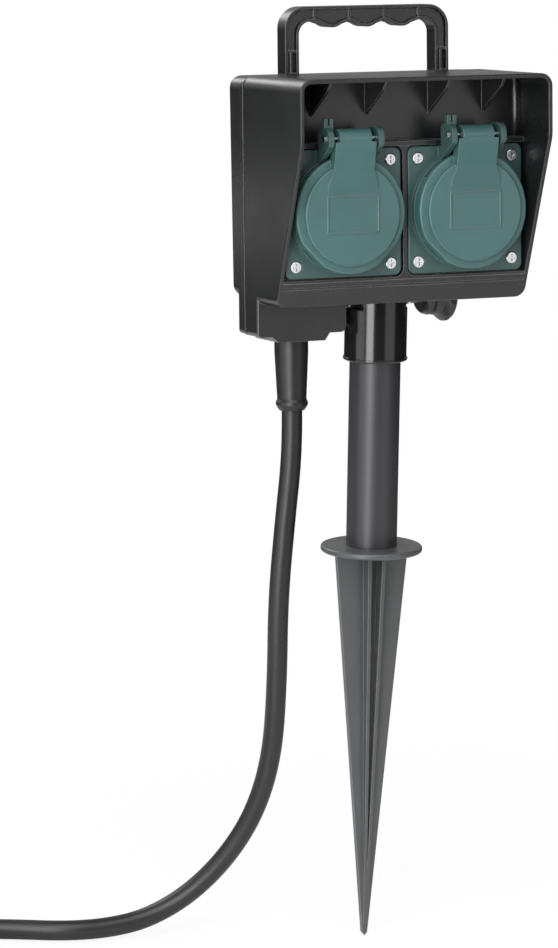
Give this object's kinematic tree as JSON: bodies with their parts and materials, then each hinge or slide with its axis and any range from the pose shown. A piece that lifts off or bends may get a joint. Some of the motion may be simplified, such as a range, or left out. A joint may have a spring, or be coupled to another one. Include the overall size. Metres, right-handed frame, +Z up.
{
  "type": "garden socket spike",
  "caption": "Lidded garden sockets side by side under a sloped hood with a carry handle, tilting on a short pole with a ground spike, with a mains cord and plug.",
  "frame": {"origin": "tip of the ground spike, under the pole's axis", "axes": "+Z up along the pole, -Y towards the person in front of the sockets, +X to their right"},
  "size_m": [0.4225, 0.1416, 0.4604],
  "materials": {
    "housing_plastic": "fine-grained black plastic",
    "flange_plastic": "grey-green moulded plastic",
    "lid_plastic": "dark green moulded plastic, slight sheen",
    "insert_plastic": "black heat-proof plastic",
    "knob_plastic": "black plastic",
    "pole_plastic": "smooth extruded black tube",
    "spike_plastic": "dark grey moulded plastic",
    "seal_rubber": "soft black rubber",
    "cord_rubber": "black rubber sheath",
    "steel": "zinc-plated steel",
    "spring_steel": "spring wire",
    "brass": "stamped brass",
    "wire_brown": "brown insulation",
    "wire_blue": "blue insulation",
    "wire_earth": "green-yellow insulation",
    "tie_plastic": "black plastic band"
  },
  "bodies": {
    "head": {"front_cover": "housing_plastic", "socket_panel": "housing_plastic", "rear_shell": "housing_plastic", "housing_gasket": "seal_rubber", "housing_screws": "steel", "carry_handle": "housing_plastic", "handle_screws": "steel", "flange_screws": "steel", "tilt_bracket": "housing_plastic", "bracket_screws": "steel", "clamp_nut": "steel", "clamp_washer": "steel", "cable_boot": "cord_rubber", "cord_end": "cord_rubber", "cord_clamp": "insert_plastic", "cord_clamp_screws": "steel", "cable_tube": "cord_rubber", "cable_coil": "cord_rubber", "coil_tie": "tie_plastic", "plug_body": "cord_rubber", "plug_pins": "steel", "plug_earth_strips": "brass", "wire_live": "wire_brown", "wire_neutral": "wire_blue", "wire_earth": "wire_earth", "link_live": "wire_brown", "link_neutral": "wire_blue", "link_earth": "wire_earth", "socket_flange_left": "flange_plastic", "flange_gasket_left": "seal_rubber", "socket_insert_left": "insert_plastic", "earth_clip_left": "brass", "contact_live_left": "brass", "contact_neutral_left": "brass", "hinge_pin_left": "steel", "hinge_spring_left": "spring_steel", "socket_flange_right": "flange_plastic", "flange_gasket_right": "seal_rubber", "socket_insert_right": "insert_plastic", "earth_clip_right": "brass", "contact_live_right": "brass", "contact_neutral_right": "brass", "hinge_pin_right": "steel", "hinge_spring_right": "spring_steel"},
    "pole": {"pole_sleeve": "pole_plastic", "pole_tube": "pole_plastic", "ground_spike": "spike_plastic"},
    "left_lid": {"lid_left": "lid_plastic", "lid_seal_left": "seal_rubber"},
    "right_lid": {"lid_right": "lid_plastic", "lid_seal_right": "seal_rubber"},
    "knob": {"clamp_knob": "knob_plastic"}
  },
  "joints": [
    {"name": "head_tilt", "type": "hinge", "parent": "head", "child": "pole", "pos_m": [0, 0, 0.322], "axis": [1, 0, 0], "range_deg": [-49, 41]},
    {"name": "clamp_turn", "type": "hinge", "parent": "head", "child": "knob", "pos_m": [0.025, 0, 0.322], "axis": [1, 0, 0], "range_deg": [0, 360]},
    {"name": "left_lid_hinge", "type": "hinge", "parent": "head", "child": "left_lid", "pos_m": [-0.032, -0.03912, 0.40341], "axis": [-1, 0, 0], "range_deg": [0, 105], "stiffness_Nm_per_rad": 0.008, "springref_deg": -68.75},
    {"name": "right_lid_hinge", "type": "hinge", "parent": "head", "child": "right_lid", "pos_m": [0.032, -0.03912, 0.40341], "axis": [-1, 0, 0], "range_deg": [0, 105], "stiffness_Nm_per_rad": 0.008, "springref_deg": -68.75}
  ]
}
